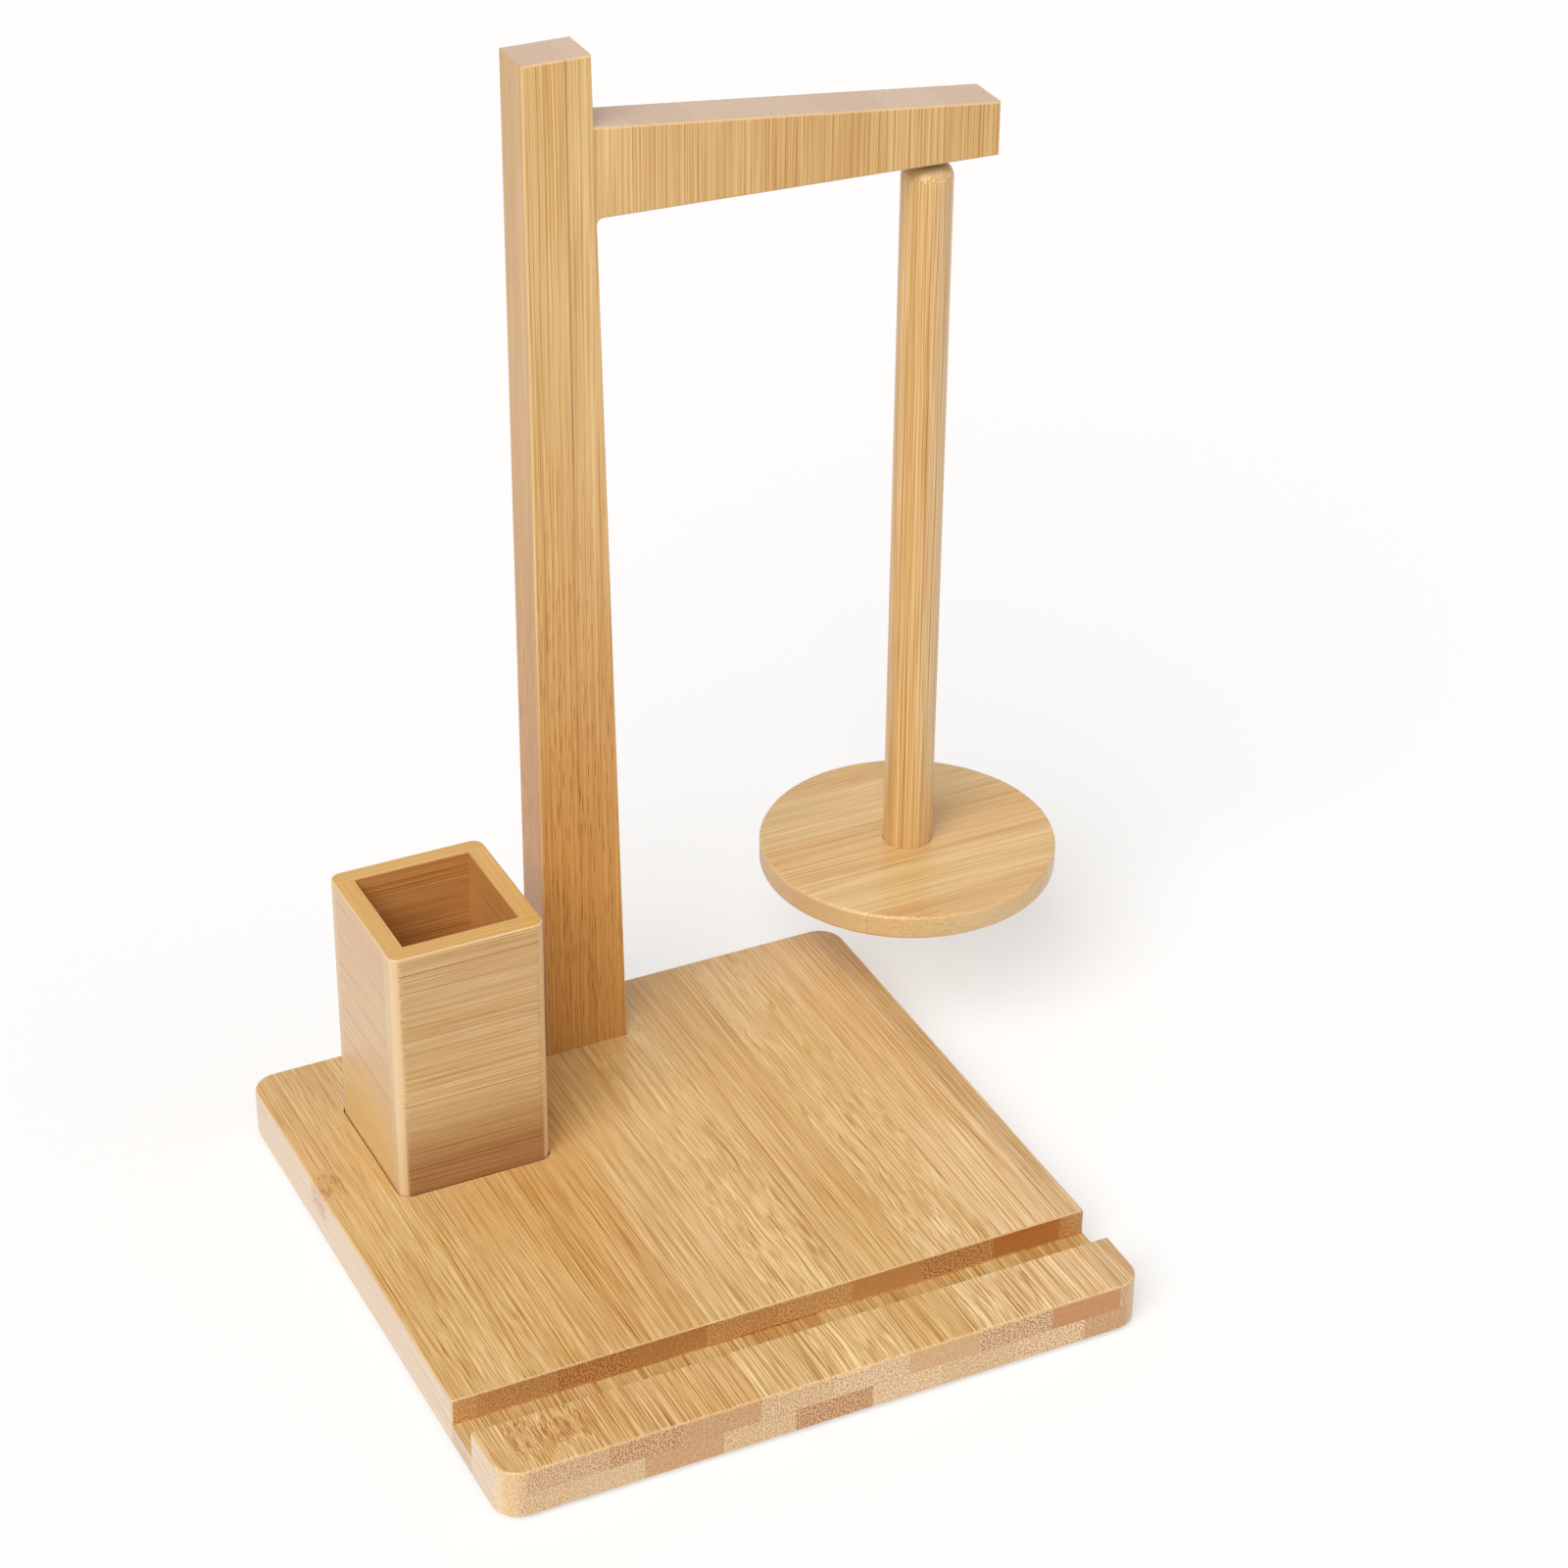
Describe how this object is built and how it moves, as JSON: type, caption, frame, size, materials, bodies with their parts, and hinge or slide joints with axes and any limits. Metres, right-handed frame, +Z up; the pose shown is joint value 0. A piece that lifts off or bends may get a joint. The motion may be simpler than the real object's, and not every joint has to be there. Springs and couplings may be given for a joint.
{
  "type": "yarn ball holder",
  "caption": "Free-standing bamboo holder that feeds yarn from a ball on a turning spindle and tray, with a lift-out tool box and a groove that props up a device.",
  "frame": {"origin": "middle of the overall width and depth, on the table under the rubber pads", "axes": "+X along the board's front edge towards the arm's tip, +Y to the rear, +Z up the post"},
  "size_m": [0.261, 0.227, 0.3381],
  "materials": {
    "bamboo": "satin lacquer over glued strips",
    "zinc_steel": "zinc-plated",
    "nickel_plate": "nickel-plated",
    "dark_steel": "blackened",
    "brass": "turned",
    "rubber": "matt"
  },
  "bodies": {
    "stand": {"base_board": "bamboo", "stand_bracket": "bamboo", "post_screws": "zinc_steel", "foot_pad_front_left": "rubber", "foot_pad_front_right": "rubber", "foot_pad_rear_left": "rubber", "foot_pad_rear_right": "rubber", "magnet_cup": "zinc_steel", "magnet_disc": "nickel_plate"},
    "pivot": {"pivot_pin": "dark_steel"},
    "spindle": {"spindle_rod": "bamboo", "pivot_bush": "brass", "tray_disc": "bamboo", "tray_screw": "zinc_steel"},
    "tool_box": {"box_front_wall": "bamboo", "box_rear_wall": "bamboo", "box_left_wall": "bamboo", "box_right_wall": "bamboo", "box_floor": "bamboo"}
  },
  "joints": [
    {"name": "spindle_pull", "type": "slide", "parent": "stand", "child": "pivot", "axis": [0, 0, -1], "range_m": [0, 0.025]},
    {"name": "spindle_spin", "type": "hinge", "parent": "pivot", "child": "spindle", "pos_m": [0.08391, 0.06695, 0.27397], "axis": [0, 0, 1], "continuous": true},
    {"name": "box_lift", "type": "slide", "parent": "stand", "child": "tool_box", "axis": [0, 0, 1], "range_m": [0, 0.03]}
  ]
}
